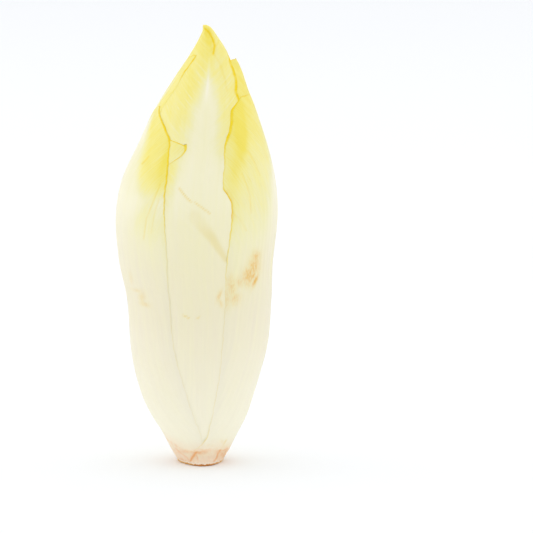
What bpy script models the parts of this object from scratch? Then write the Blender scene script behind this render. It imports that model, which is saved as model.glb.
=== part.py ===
"""A head of Belgian endive, the forced bud of witloof chicory, standing on its cut stem.

The head is a stem with nineteen leaves wrapped round it.  Height is measured up from the cut face.
Azimuth is measured from the front (-Y), and grows towards the right-hand side (+X).

Every leaf is a shell that follows the outline of the whole head.  The leaves are listed from the
outermost to the innermost.  A leaf lies as deep below the head's outline as the leaves outside it
are thick there, so the leaves nest with a small gap and never cut one another.
"""

import math
from dataclasses import dataclass

import bmesh
import bpy
import numpy as np

MM = 0.001

# The head's outline from the front: height, sideways shift of the middle, half of the width (mm).
HEAD_OUTLINE = (
    (0, 0.0, 9.4),
    (6, 0.0, 12.0),
    (12, 0.0, 14.6),
    (26, -1.0, 21.2),
    (44, -0.8, 25.8),
    (64, -0.5, 27.8),
    (80, -1.5, 29.8),
    (95, -1.4, 31.0),
    (110, -0.8, 29.3),
    (124, 1.0, 24.8),
    (138, 2.1, 19.2),
    (150, 3.2, 13.2),
    (160, 3.5, 7.2),
    (166, 3.2, 3.6),
    (170, 2.7, 1.3),
)
DEPTH_TO_WIDTH = 0.93  # the head is a little flatter from front to back, above the round stem
ROUND_UP_TO = 12  # height (mm) up to which the head is as deep as it is wide
FLAT_FROM = 50  # height (mm) above which it has the full flatness

# The stem's foot, turned about the head's axis up to the ledge under the leaves: radius, height (mm).
STEM_FOOT = ((8.6, 0.0), (9.3, 0.5), (10.4, 2.4), (11.2, 4.6), (11.5, 6.2))
# The core above it fills what the leaves leave free, and tapers to a point: height, largest radius (mm).
CORE_TAPER = ((6.6, 10.2), (12, 9.6), (20, 8.6), (32, 6.8), (44, 4.8), (56, 3.6), (66, 0.8))
CORE_STEP = 1.5  # mm between two rings of the core
BASE_SHELF = (3.4, 0.4)  # mm below a leaf's base between which the core draws in to make room for it
STEM_GAP = 0.45  # mm between the core and the leaves round it
STEM_SIDES = 30

# The gap under an outer and under an inner leaf: height, gap (mm).
OUTER_GAPS = ((0, 0.8), (95, 0.8), (130, 1.15))
INNER_GAPS = ((0, 1.4), (35, 1.4), (55, 1.1), (80, 1.2), (105, 2.2))
MARGIN_THICKNESS = 0.4  # mm, at the free edge of a leaf
MARGIN_FADE = 12.0  # mm past its edge over which a leaf's step in the next one levels out
# Along the midrib: share of the leaf's height, thickness (mm).
RIB_THICKNESS = ((0.0, 1.5), (0.2, 2.3), (0.5, 3.2), (0.75, 2.8), (0.9, 1.6), (1.0, 0.7))
INNER_STOUTNESS = 0.95  # an inner leaf's thickness as a share of an outer leaf's
INNER_LEAN = 1.8  # mm that the top of each inner leaf leans in to close the head
LEAN_LENGTH = 38  # mm below its tip where it starts to lean
INNERMOST_SHARE = 0.72  # depth, as a share of the radius, past which the layers are pressed closer

OUTER_GRID = (12, 14)  # quads across and along a leaf
FRONT_GRID = (14, 20)
INNER_GRID = (9, 11)
TIP_CROWDING = 1.2  # above 1, rows of quads stand closer towards the tip
END_CROWDING = 0.45  # above 0, they stand closer at both ends of the leaf

LEAF_YELLOW = (0.80, 0.70, 0.27, 1.0)
STEM_CREAM = (0.78, 0.66, 0.45, 1.0)


@dataclass
class Leaf:
    """One leaf.  The margins give height (mm) and the reach of the blade to the left and to the
    right of the middle line (degrees), seen from outside."""

    name: str
    azimuth: tuple  # height (mm), azimuth of the middle line (degrees)
    margins: tuple
    grid: tuple = OUTER_GRID
    depth_share: float = 1.0  # the leaf's own radius as a share of the head's
    flare: float = 0.0  # mm that the tip stands proud of the head's outline
    inner: bool = False

    @property
    def base(self):
        return self.margins[0][0]

    @property
    def tip(self):
        return self.margins[-1][0]


def curve_through(points, column, at):
    """A smooth curve through the points' given column, read at the heights in at, without overshoot."""
    x = np.array([p[0] for p in points], float)
    y = np.array([p[column] for p in points], float)
    slope = np.diff(y) / np.diff(x)
    tangent = np.concatenate([slope[:1], (slope[1:] + slope[:-1]) / 2, slope[-1:]])
    flat = slope[1:] * slope[:-1] <= 0
    tangent[1:-1][flat] = 0
    limit = 3 * np.minimum(np.abs(np.append(slope, slope[-1])), np.abs(np.append(slope[0], slope)))
    tangent = np.clip(tangent, -limit, limit)
    at = np.clip(at, x[0], x[-1])
    i = np.clip(np.searchsorted(x, at, side="right") - 1, 0, len(x) - 2)
    span = x[i + 1] - x[i]
    t = (at - x[i]) / span
    return (
        y[i] * (1 + 2 * t) * (1 - t) ** 2
        + tangent[i] * span * t * (1 - t) ** 2
        + y[i + 1] * t * t * (3 - 2 * t)
        - tangent[i + 1] * span * t * t * (1 - t)
    )


def smooth_step(low, high, x):
    t = np.clip((x - low) / (high - low), 0, 1)
    return t * t * (3 - 2 * t)


OUTER_LEAVES = (
    Leaf(
        "right_outer_leaf",
        azimuth=((7, 95), (118, 95), (128, 88), (136, 79), (141, 72), (143.7, 66)),
        margins=(
            (7.0, 97, 78),
            (10, 91, 74),
            (17, 82, 68),
            (29, 77, 63),
            (50, 75, 60),
            (83, 72, 60),
            (97, 69.5, 60),
            (101, 69, 60),
            (106, 70, 60),
            (109, 73.5, 60),
            (111, 76, 60),
            (118, 75.5, 58),
            (127.3, 68.5, 58),
            (131.6, 59, 52),
            (136, 50, 43),
            (139.5, 41.5, 32),
            (142.1, 24.5, 23),
            (143.2, 15, 17),
            (143.7, 7, 11),
        ),
    ),
    Leaf(
        "left_outer_leaf",
        azimuth=((7, -95), (110, -95), (125, -90), (133, -82), (139.4, -73)),
        margins=(
            (7.3, 78, 104),
            (10, 74, 100),
            (28, 64, 86),
            (48, 61, 75),
            (68, 60, 72.5),
            (83, 60, 74),
            (107, 60, 71),
            (115, 59, 69),
            (122, 54, 62.5),
            (128.4, 42.5, 54),
            (131, 36, 45.5),
            (133.8, 29, 34),
            (136.5, 18, 18),
            (138.7, 7, 6),
            (139.4, 3, 3),
        ),
    ),
    Leaf(
        "torn_left_leaf",
        azimuth=((7, -75),),
        margins=(
            (8.0, 74, 70),
            (30, 62, 52),
            (60, 58, 47),
            (100, 55, 46),
            (117, 50, 47),
            (122, 48, 53),
            (126, 43, 56),
            (129, 34, 42),
            (131.5, 22, 24),
            (133, 10, 10),
        ),
    ),
    Leaf(
        "back_outer_leaf",
        azimuth=((7, 182),),
        margins=(
            (9.0, 66, 66),
            (30, 62, 60),
            (70, 58, 58),
            (110, 56, 58),
            (130, 48, 52),
            (142, 36, 40),
            (149, 24, 26),
            (154, 12, 13),
            (157, 4, 4),
        ),
    ),
    Leaf(
        "upper_left_leaf",
        azimuth=((100, -95), (140, -85), (152, -68), (159, -50)),
        margins=(
            (10.5, 60, 78),
            (50, 58, 55),
            (100, 56, 45),
            (120, 52, 35),
            (140, 52, 24),
            (146, 50, 24),
            (152, 42, 15),
            (156, 26, 12),
            (159, 6, 9),
        ),
    ),
    Leaf(
        "front_leaf",
        azimuth=((7, 0),),
        margins=(
            (11.5, 62, 62),
            (40, 66, 68),
            (95, 72, 70),
            (125, 72, 58),
            (140, 75, 51),
            (145, 77, 50),
            (149, 82, 57.5),
            (152, 86, 62),
            (157, 96, 67),
            (163, 106, 86),
            (170, 112, 96),
        ),
        grid=FRONT_GRID,
    ),
    Leaf(
        "upper_right_leaf",
        azimuth=((130, 112), (146, 104), (157, 92)),
        margins=(
            (13.0, 66, 70),
            (50, 64, 62),
            (100, 66, 60),
            (130, 68, 56),
            (145, 60, 46),
            (152, 46, 36),
            (155.6, 34, 22),
            (156.6, 26, 12),
            (157.0, 18, 5),
        ),
        flare=1.5,
    ),
)

# The leaves under those, each turned on from the one before by the golden angle.
INNER_LEAVES = 12
INNER_NAMES = "inner_leaf_{:02d}"
GOLDEN_ANGLE = 137.5
FIRST_INNER_AZIMUTH = 200
FIRST_INNER_BASE = 14.5
BASE_RISE = 2.5  # mm up the stem from one leaf to the next
FIRST_INNER_TIP = 163
TIP_DROP = 3.0  # mm from one tip to the next, and more by TIP_DROP_MORE each time
TIP_DROP_MORE = 0.28
FIRST_INNER_REACH = 74
REACH_GAIN = 3.0  # degrees from one leaf to the next: further in, a leaf goes further round
LAYER_THINNING = 0.055  # share of the head's radius by which each inner leaf lies further in
# Share of an inner leaf's height, share of its reach.
INNER_SHAPE = ((0.0, 0.95), (0.15, 0.95), (0.4, 1.0), (0.65, 1.0), (0.82, 0.84), (0.93, 0.52), (1.0, 0.06))


def inner_leaf(n):
    base = FIRST_INNER_BASE + BASE_RISE * n
    tip = FIRST_INNER_TIP - (TIP_DROP + TIP_DROP_MORE * n) * n
    reach = FIRST_INNER_REACH + REACH_GAIN * n
    return Leaf(
        INNER_NAMES.format(n + 1),
        azimuth=((base, FIRST_INNER_AZIMUTH + GOLDEN_ANGLE * n),),
        margins=tuple((base + (tip - base) * v, reach * w, reach * w) for v, w in INNER_SHAPE),
        grid=INNER_GRID,
        depth_share=1 - LAYER_THINNING * (n + 3),
        inner=True,
    )


LEAVES = OUTER_LEAVES + tuple(inner_leaf(n) for n in range(INNER_LEAVES))

BLUNT_TOP = 1.5  # mm below its tip where a leaf still counts as this wide for the leaf under it
FLARE_HEIGHT = 14  # mm below the tip where a flared leaf starts to stand proud
FLARE_AZIMUTH = (66, 86)  # degrees between which the flare grows, clear of the front leaf


def half_width_of_head(height):
    return curve_through(HEAD_OUTLINE, 2, height)


def middle_azimuth(leaf, height):
    if len(leaf.azimuth) == 1:
        return np.full_like(height, leaf.azimuth[0][1])
    return curve_through(leaf.azimuth, 1, height)


def leaf_thickness(leaf, azimuth, height):
    """(thickness, 1 under the leaf and less past its edge) of the leaf at these azimuths and heights."""
    turn = (azimuth - middle_azimuth(leaf, height) + 180) % 360 - 180
    level = np.minimum(height, leaf.tip - BLUNT_TOP)
    reach = np.where(turn < 0, curve_through(leaf.margins, 1, level), curve_through(leaf.margins, 2, level))
    mm_per_degree = math.pi / 180 * half_width_of_head(height) * leaf.depth_share
    inside = (reach - np.abs(turn)) * mm_per_degree
    inside = np.where(height > leaf.tip, np.minimum(inside, leaf.tip - height), inside)
    from_edge = np.clip(inside / np.maximum(reach * mm_per_degree, 0.1), 0, 1)
    rib = curve_through(RIB_THICKNESS, 1, (height - leaf.base) / (leaf.tip - leaf.base))
    rib *= INNER_STOUTNESS if leaf.inner else 1
    thickness = MARGIN_THICKNESS + (rib - MARGIN_THICKNESS) * smooth_step(0, 1, from_edge)
    return thickness, 1 - smooth_step(0, MARGIN_FADE, -inside)


def gap_under(leaf, height):
    return curve_through(INNER_GAPS if leaf.inner else OUTER_GAPS, 1, height)


def lean_of(leaf, height):
    return INNER_LEAN * smooth_step(leaf.tip - LEAN_LENGTH, leaf.tip, height) if leaf.inner else 0


def depth_of_leaf(order, azimuth, height):
    """Depth of a leaf's outer face below the head's outline (mm): what the leaves outside it take up."""
    depth = np.zeros_like(height) + lean_of(LEAVES[order], height)
    for leaf in LEAVES[:order]:
        thickness, cover = leaf_thickness(leaf, azimuth, height)
        depth += (thickness + gap_under(leaf, height)) * cover + lean_of(leaf, height)
    return depth


def placed(azimuth, height, depth):
    """Points in metres at these azimuths (degrees), heights and depths (mm) below the head's outline."""
    half_width = half_width_of_head(height)
    flatness = 1 - (1 - DEPTH_TO_WIDTH) * smooth_step(ROUND_UP_TO, FLAT_FROM, height)
    share = depth / half_width
    pressed = (1 - INNERMOST_SHARE) * np.exp(-(share - INNERMOST_SHARE) / (1 - INNERMOST_SHARE))
    left = np.where(share < INNERMOST_SHARE, 1 - share, pressed)
    angle = np.radians(azimuth)
    x = curve_through(HEAD_OUTLINE, 1, height) + half_width * left * np.sin(angle)
    y = -half_width * flatness * left * np.cos(angle)
    return np.column_stack([x, y, height]) * MM


def new_object(name, bm, material):
    mesh = bpy.data.meshes.new(name)
    bm.to_mesh(mesh)
    bm.free()
    mesh.materials.append(material)
    mesh.shade_smooth()
    obj = bpy.data.objects.new(name, mesh)
    bpy.context.scene.collection.objects.link(obj)
    return obj


def new_material(name, color, roughness):
    material = bpy.data.materials.new(name)
    material.use_nodes = True
    shader = material.node_tree.nodes["Principled BSDF"]
    shader.inputs["Base Color"].default_value = color
    shader.inputs["Roughness"].default_value = roughness
    shader.inputs["Metallic"].default_value = 0.0
    return material


def make_leaf(order, material):
    """A grid thickened into a slab, whose two faces are then laid on the leaf's outer and inner side."""
    leaf = LEAVES[order]
    across, along = leaf.grid
    bm = bmesh.new()
    bmesh.ops.create_grid(bm, x_segments=across, y_segments=along, size=1.0)
    slab = bmesh.ops.extrude_face_region(bm, geom=bm.faces[:], use_keep_orig=True)
    inner = {v for v in slab["geom"] if isinstance(v, bmesh.types.BMVert)}
    verts = list(bm.verts)
    flat = np.array([v.co for v in verts])
    is_inner = np.array([v in inner for v in verts])

    share = 1 - ((1 - flat[:, 1]) / 2) ** TIP_CROWDING
    share -= END_CROWDING * np.sin(2 * math.pi * share) / (2 * math.pi)
    height = leaf.base + (leaf.tip - leaf.base) * share
    reach = np.where(
        flat[:, 0] < 0,
        curve_through(leaf.margins, 1, height),
        curve_through(leaf.margins, 2, height),
    )
    azimuth = middle_azimuth(leaf, height) + flat[:, 0] * reach
    thickness, _ = leaf_thickness(leaf, azimuth, height)
    proud = leaf.flare * smooth_step(leaf.tip - FLARE_HEIGHT, leaf.tip, height)
    proud *= smooth_step(*FLARE_AZIMUTH, azimuth)
    depth = depth_of_leaf(order, azimuth, height) - proud + np.where(is_inner, thickness, 0)
    for vert, point in zip(verts, placed(azimuth, height, depth)):
        vert.co = point
    bmesh.ops.recalc_face_normals(bm, faces=bm.faces[:])
    return new_object(leaf.name, bm, material)


def core_ring(height):
    """Points round the stem's core: it stands inside every leaf whose base lies below this height."""
    azimuth = np.arange(STEM_SIDES) * 360 / STEM_SIDES
    level = np.full(STEM_SIDES, height)
    depth = np.full(STEM_SIDES, STEM_GAP)
    for leaf in LEAVES:
        thickness, cover = leaf_thickness(leaf, azimuth, level)
        started = smooth_step(*BASE_SHELF, leaf.base - height) if height < leaf.base else 1
        depth += (thickness + gap_under(leaf, level)) * cover * started
    largest = curve_through(CORE_TAPER, 1, level)
    return placed(azimuth, level, np.maximum(depth, half_width_of_head(level) - largest))


def foot_ring(radius, height):
    turn = np.radians(np.arange(STEM_SIDES) * 360 / STEM_SIDES)
    level = np.full(STEM_SIDES, height)
    return np.column_stack([radius * np.sin(turn), -radius * np.cos(turn), level]) * MM


def make_stem(material):
    """The stem: the cut face that the head stands on, a ledge for the outer leaves and the core."""
    bottom, top = CORE_TAPER[0][0], CORE_TAPER[-1][0]
    rings = [foot_ring(radius, height) for radius, height in STEM_FOOT]
    rings += [core_ring(height) for height in np.arange(bottom, top, CORE_STEP)]
    bm = bmesh.new()
    verts = [[bm.verts.new(point) for point in ring] for ring in rings]
    for low, high in zip(verts, verts[1:]):
        for i in range(STEM_SIDES):
            bm.faces.new((low[i - 1], low[i], high[i], high[i - 1]))
    bm.faces.new(verts[0])
    bm.faces.new(verts[-1])
    bmesh.ops.recalc_face_normals(bm, faces=bm.faces[:])
    return new_object("stem", bm, material)


def main():
    for obj in list(bpy.data.objects):
        bpy.data.objects.remove(obj)
    leaf_material = new_material("leaf", LEAF_YELLOW, 0.42)
    make_stem(new_material("stem", STEM_CREAM, 0.65))
    for order in range(len(LEAVES)):
        make_leaf(order, leaf_material)


main()
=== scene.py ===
"""A head of Belgian endive standing on its cut stem: fine leaves, cut stem, floor, lights and camera.

Heights are measured up from the cut face, and azimuths from the front (-Y) towards the right (+X), in
millimetres and degrees.  Every leaf is a thin closed shell on the outline of the whole head.  It lies
as deep below that outline as the leaves outside it are thick there, so the leaves nest in one another.
"""

import math
from dataclasses import dataclass

import bmesh
import bpy
import numpy as np
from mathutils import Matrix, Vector


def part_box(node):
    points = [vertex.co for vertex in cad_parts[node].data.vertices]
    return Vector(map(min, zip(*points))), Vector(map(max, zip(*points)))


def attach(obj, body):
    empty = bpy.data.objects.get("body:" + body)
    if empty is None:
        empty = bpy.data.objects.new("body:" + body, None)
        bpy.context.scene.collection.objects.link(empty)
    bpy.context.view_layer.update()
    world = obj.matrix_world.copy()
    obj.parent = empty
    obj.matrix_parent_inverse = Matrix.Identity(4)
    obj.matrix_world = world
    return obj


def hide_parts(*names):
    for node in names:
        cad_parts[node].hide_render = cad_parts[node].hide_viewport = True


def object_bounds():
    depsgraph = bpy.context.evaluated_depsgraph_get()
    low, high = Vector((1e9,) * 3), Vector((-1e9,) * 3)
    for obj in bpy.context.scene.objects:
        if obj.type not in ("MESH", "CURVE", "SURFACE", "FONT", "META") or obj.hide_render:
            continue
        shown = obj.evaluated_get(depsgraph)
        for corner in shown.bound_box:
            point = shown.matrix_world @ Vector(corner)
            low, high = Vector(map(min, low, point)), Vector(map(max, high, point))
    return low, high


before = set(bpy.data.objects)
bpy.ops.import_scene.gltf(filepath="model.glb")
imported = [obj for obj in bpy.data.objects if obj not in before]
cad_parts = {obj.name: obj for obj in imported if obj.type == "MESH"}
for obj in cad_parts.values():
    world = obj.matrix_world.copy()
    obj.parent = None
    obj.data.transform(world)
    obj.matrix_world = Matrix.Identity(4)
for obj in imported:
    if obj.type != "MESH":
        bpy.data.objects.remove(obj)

cad_low, cad_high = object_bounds()

HEAD_HEIGHT = 170
MM = (cad_high.z - cad_low.z) / HEAD_HEIGHT

# ---- The head's outline and its leaves ----

# Height, sideways shift of the middle, half of the width, seen from the front.
HEAD_OUTLINE = (
    (0, 0, 9.4), (6, 0, 11.9), (12, 0, 14.9), (18, -0.4, 18.3), (26, -0.9, 21.5), (44, -0.6, 26),
    (64, -0.4, 27.9), (80, -1.3, 29.9), (95, -1.2, 31), (110, -0.6, 29.4), (124, 1.1, 24.9),
    (138, 2.2, 19.3), (150, 3.3, 12.8), (160, 3.8, 6.7), (166, 3.4, 3), (168, 3.1, 1.9),
    (169.5, 2.4, 1.1), (170, 2, 0.4),
)
DEPTH_TO_WIDTH = 0.93  # the head is a little flatter from front to back
ROUND_UP_TO = 12  # height up to which it is as deep as it is wide
FLAT_FROM = 50  # height above which it has its full flatness

LEAF_GAP = 0.015
INNER_GAPS = ((0, 0.6), (35, 0.9), (80, 1), (105, 0.9), (140, 0.4))  # between hidden leaves: height, gap
MARGIN_THICKNESS = ((0, 0.04), (60, 0.04), (95, 0.05), (125, 0.06), (170, 0.05))  # height, thickness
MARGIN_FADE = 12  # past its edge, over which a leaf's step in the next one levels out
# Share of the way up the leaf, thickness of its midrib.
RIB_THICKNESS = ((0, 1.5), (0.2, 2.3), (0.5, 3.2), (0.75, 2.8), (0.9, 1.6), (0.97, 0.7), (1, 0.15))
INNER_STOUTNESS = 0.95  # a hidden leaf's midrib, as a share of an outer leaf's
INNER_LEAN = (0.3, 0.9)  # how far the first hidden leaf's top leans in, and each further one more
LEAN_LENGTH = 38  # below its tip, over which a hidden leaf leans in
INNERMOST_SHARE = 0.72  # depth as a share of the radius, past which the layers are pressed closer
BLUNT_TOP = 1.5  # below its tip, where a leaf still counts as this wide for the leaf under it
NARROWEST = 0.1  # half width of a leaf, for working out shares of it

OUTER_GRID = (150, 280)  # quads across and along a leaf
INNER_GRID = (56, 90)
MARGIN_CROWDING = 1.35  # above 1, columns stand closer towards the two margins


@dataclass
class Leaf:
    """One leaf.  The margins give height and the reach of the blade to the left and to the right of
    its middle line (degrees), seen from outside."""

    name: str
    azimuth: tuple  # height, azimuth of the middle line
    margins: tuple
    yellow: tuple  # height, how yellow the blade is, where its white rib ends on the left and right
    grid: tuple = OUTER_GRID
    depth_share: float = 1.0
    flare: float = 0.0
    lean: float = 0.0
    inner: bool = False
    softness: float = 0.16  # share of the blade over which the white rib turns yellow
    lifts: tuple = ()  # where a margin stands proud: side, height, half height, amount
    streaks: tuple = ()  # extra yellow: height, azimuth, half height, half width (mm), lean, strength
    seams: tuple = ((0, 0.1, 0.1), (170, 0.4, 0.4))  # height, how strongly the painted shade and glow along the left and right margins show
    vein_lean: float = 2.0
    vein_white: float = 0.0

    @property
    def base(self):
        return self.margins[0][0]

    @property
    def tip(self):
        return self.margins[-1][0]


def curve_through(points, column, at):
    """A smooth curve through the points' given column, read at the heights in at, without overshoot."""
    x = np.array([p[0] for p in points], float)
    y = np.array([p[column] for p in points], float)
    slope = np.diff(y) / np.diff(x)
    tangent = np.concatenate([slope[:1], (slope[1:] + slope[:-1]) / 2, slope[-1:]])
    flat = slope[1:] * slope[:-1] <= 0
    tangent[1:-1][flat] = 0
    limit = 3 * np.minimum(np.abs(np.append(slope, slope[-1])), np.abs(np.append(slope[0], slope)))
    tangent = np.clip(tangent, -limit, limit)
    at = np.clip(at, x[0], x[-1])
    i = np.clip(np.searchsorted(x, at, side="right") - 1, 0, len(x) - 2)
    span = x[i + 1] - x[i]
    t = (at - x[i]) / span
    return (
        y[i] * (1 + 2 * t) * (1 - t) ** 2
        + tangent[i] * span * t * (1 - t) ** 2
        + y[i + 1] * t * t * (3 - 2 * t)
        - tangent[i + 1] * span * t * t * (1 - t)
    )


def by_side(points, side, at):
    """The points' second column on the left, where side is below 0, and the third column on the right."""
    return np.where(side < 0, curve_through(points, 1, at), curve_through(points, 2, at))


def smooth_step(low, high, x):
    """0 at low, 1 at high and smooth between them; low may be the larger of the two."""
    t = np.clip((x - low) / (high - low), 0, 1)
    return t * t * (3 - 2 * t)


OUTER_LEAVES = (
    Leaf(
        "right_outer_leaf", azimuth=((7, 95), (118, 95), (128, 88), (136, 79), (141, 72), (143.7, 66)),
        margins=(
            (7, 108, 78), (10, 91, 74), (17, 82, 68), (29, 77, 63), (50, 75, 60), (83, 72, 60),
            (97, 69.5, 60), (101, 69, 60), (106, 70, 60), (109, 73.5, 60), (111, 76, 60), (118, 75.5, 58),
            (127.3, 68.5, 58), (131.6, 59, 52), (136, 50, 43), (139.5, 41.5, 32), (142.1, 24.5, 23),
            (143.2, 15, 17), (143.7, 7, 11),
        ),
        yellow=(
            (60, 0, 0.5, 0.5), (80, 0.07, 0.5, 0.5), (92, 0.14, 0.45, 0.5), (104, 0.3, 0.4, 0.5),
            (112, 0.4, 0.3, 0.4), (122, 0.49, 0.12, 0.3), (133, 0.7, -0.1, 0.1), (144, 0.86, -0.2, -0.2),
        ),
        streaks=(
            (131, 40, 11, 2.9, 8, 0.5), (118, 29, 9, 3.4, 12, 0.28), (106, 27, 9, 3.6, 8, 0.16),
            (97, 24, 6, 2.6, 0, 0.12), (80, 77, 11, 0.5, 4, 0.4),
        ),
        seams=(
            (7, 0.5, 0.1), (11, 0.4, 0.1), (20, 0.22, 0.1), (70, 0.22, 0.1), (82, 0.4, 0.1),
            (98, 0.55, 0.1), (104, 0.7, 0.2), (109, 0.7, 0.2), (112, 0.36, 0.3), (125, 0.6, 0.4),
            (130, 1.5, 0.5), (138, 1.7, 0.5), (144, 0.5, 0.5),
        ),
    ),
    Leaf(
        "left_outer_leaf", azimuth=((7, -95), (110, -95), (125, -90), (133, -82), (139.4, -73)),
        margins=(
            (7.3, 78, 104), (10, 74, 100), (28, 64, 86), (48, 61, 75), (68, 60, 72.5), (83, 60, 74),
            (107, 60, 71), (115, 59, 69), (122, 54, 62.5), (128.4, 42.5, 54), (131, 36, 45.5),
            (133.8, 29, 34), (136.5, 18, 18), (138.7, 6, 5), (139.4, 1, 1),
        ),
        yellow=(
            (78, 0, 0.5, 0.5), (88, 0.07, 0.5, 0.55), (97, 0.16, 0.5, 0.6), (105, 0.12, 0.5, 0.66),
            (111, 0.52, 0.5, 0.66), (116, 0.68, 0.45, 0.6), (122, 0.7, 0.4, 0.5), (128, 0.68, 0.3, 0.4),
            (133, 0.65, 0.2, 0.2), (139, 0.62, -0.2, -0.2),
        ),
        streaks=(
            (121, -32, 8, 2, 0, 0.2), (114, -50, 6, 2.2, -30, 0.18), (103, -37, 8, 1.3, 25, 0.1),
            (98, -45, 7, 1.1, 30, 0.06), (117, -64, 12, 7, -10, 0.16),
        ),
        seams=(
            (7, 0.1, 0.16), (70, 0.1, 0.22), (88, 0.1, 0.26), (98, 0.2, 0.45), (106, 0.3, 0.6),
            (112, 0.3, 0.7), (126, 0.4, 0.8), (130, 0.5, 1.5), (137, 0.6, 1.6), (139, 0.5, 0.8),
        ),
    ),
    Leaf(
        "torn_left_leaf", azimuth=((7, -75),),
        margins=(
            (8, 74, 70), (30, 62, 52), (60, 58, 47), (100, 55, 46), (114, 51, 45), (119, 49, 47.5),
            (121, 48.5, 53), (123.3, 46, 59), (125.2, 44, 60.5), (126.3, 43, 60), (126.8, 42, 57),
            (127.6, 41, 50), (128.4, 39, 42), (130, 34, 36), (131.5, 22, 24), (133, 8, 8),
        ),
        yellow=(
            (80, 0, 0.5, 0.5), (110, 0.15, 0.5, 0.5), (119, 0.34, 0.4, 0.4), (127, 0.52, 0.3, 0.3),
            (133, 0.5, 0, 0),
        ),
        seams=(
            (8, 0.1, 0.1), (118, 0.2, 0), (120, 0.2, 0.5), (124, 0.3, 0.6), (126, 0.5, 1.4),
            (133, 0.4, 1.4),
        ),
    ),
    Leaf(
        "back_outer_leaf", azimuth=((7, 182),),
        margins=(
            (7.4, 66, 66), (30, 62, 60), (70, 58, 58), (110, 56, 58), (130, 48, 52), (142, 36, 40),
            (149, 24, 26), (154, 12, 13), (157, 4, 4),
        ),
        yellow=(
            (70, 0, 0.5, 0.5), (95, 0.22, 0.5, 0.45), (115, 0.55, 0.42, 0.35), (132, 0.62, 0.25, 0.2),
            (157, 0.82, -0.2, -0.2),
        ),
        lifts=(("left", 138, 12, 0.1), ("right", 141, 10, 0.12)),
    ),
    Leaf(
        "upper_left_leaf", azimuth=((100, -95), (140, -85), (152, -68), (159, -50)),
        margins=(
            (10.5, 60, 78), (50, 58, 55), (100, 56, 45), (120, 52, 35), (140, 52, 24), (146, 50, 24),
            (152, 42, 15), (156, 26, 12), (159, 6, 9),
        ),
        yellow=(
            (90, 0, 0.5, 0.5), (115, 0.4, 0.5, 0.5), (135, 0.66, 0.2, 0.2), (150, 0.68, 0, 0),
            (159, 0.7, -0.2, -0.2),
        ),
        seams=(
            (10, 0.1, 0.1), (138, 0.2, 0.3), (141, 0.2, 0.1), (147, 0.2, 0.1), (151, 0.3, 0.6),
            (157, 0.5, 0.8), (159, 0.5, 0.5),
        ),
    ),
    Leaf(
        "front_leaf", azimuth=((7, 0),),
        margins=(
            (8.5, 60, 60), (40, 66, 68), (95, 72, 70), (125, 72, 58), (140, 75, 51), (145, 77, 50),
            (149, 82, 57.5), (152, 86, 62), (157, 101, 67), (163, 116, 86), (170, 118, 96),
        ),
        yellow=(
            (96, 0, 0.4, 0.4), (110, 0.08, 0.4, 0.4), (118, 0.16, 0.33, 0.36), (127, 0.32, 0.26, 0.26),
            (133, 0.48, 0.24, 0.32), (138.5, 0.56, 0.22, 0.32), (144.5, 0.62, 0.16, 0.26),
            (149, 0.63, 0.08, 0.16), (153, 0.63, -0.02, 0.03), (157, 0.64, -0.12, -0.1),
            (160, 0.69, -0.2, -0.2), (170, 0.8, -0.2, -0.2),
        ),
        softness=0.2,
        lifts=(("right", 150, 9, 0.12),),
        streaks=(
            (116, -25, 9, 3.8, 0, 0.42), (106, -25, 10, 2.8, 0, 0.16), (158, 20, 7, 1.6, 10, -0.14),
            (147, 23, 9, 3.8, 8, -0.2), (150, 0, 8, 0.7, 0, -0.18), (165, 0, 6, 1.2, -15, 0.16),
        ),
        seams=(
            (8, 0.1, 0.1), (135, 0.2, 0.2), (142, 0.2, 1.75), (156, 0.3, 2.1), (159, 0.3, 0.4),
            (170, 0.2, 0.2),
        ),
        vein_lean=0.85,
        vein_white=1,
    ),
    Leaf(
        "upper_right_leaf", azimuth=((130, 112), (146, 104), (157, 92)),
        margins=(
            (13, 66, 70), (50, 64, 62), (100, 66, 60), (130, 68, 56), (145, 60, 46), (152, 46, 36),
            (155.6, 34, 22), (156.6, 26, 12), (157, 18, 5),
        ),
        yellow=((90, 0, 0.5, 0.5), (115, 0.45, 0.5, 0.5), (140, 0.78, -0.1, 0.1), (157, 0.84, -0.2, -0.2)),
        flare=1.5,
    ),
)

# The leaves under those, each turned on from the one before by the golden angle.
INNER_LEAVES = 12
GOLDEN_ANGLE = 137.5
FIRST_INNER_AZIMUTH = 200
FIRST_INNER_REACH = 74
REACH_GAIN = 3  # degrees from one leaf to the next in
LAYER_THINNING = 0.055  # share of the head's radius by which each one lies further in
LAYERS_OUTSIDE = 3  # layers of outer leaves over the first of them
# Share of the way up, reach as a share of the leaf's own.
INNER_SHAPE = (
    (0, 0.95), (0.15, 0.95), (0.4, 1), (0.65, 1.04), (0.82, 1.14), (0.93, 1.12), (0.975, 0.8), (1, 0.15),
)
# Share of the way up, how yellow, where the white rib ends.
INNER_YELLOW = ((0.5, 0, 0.5), (0.7, 0.45, 0.45), (0.88, 0.72, 0.2), (1, 0.85, -0.2))


def inner_leaf(n):
    """The next leaf in: it keeps its CAD solid's height, and is white below and yellow above."""
    name = f"inner_leaf_{n + 1:02d}"
    low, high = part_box(name)
    base, tip = low.z / MM, high.z / MM
    reach = FIRST_INNER_REACH + REACH_GAIN * n
    return Leaf(
        name,
        azimuth=((base, FIRST_INNER_AZIMUTH + GOLDEN_ANGLE * n),),
        margins=tuple((base + (tip - base) * v, reach * w, reach * w) for v, w in INNER_SHAPE),
        yellow=tuple((base + (tip - base) * v, level, rib, rib) for v, level, rib in INNER_YELLOW),
        grid=INNER_GRID,
        depth_share=1 - LAYER_THINNING * (n + LAYERS_OUTSIDE),
        lean=INNER_LEAN[0] + INNER_LEAN[1] * n,
        inner=True,
    )


LEAVES = OUTER_LEAVES + tuple(inner_leaf(n) for n in range(INNER_LEAVES))

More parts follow.
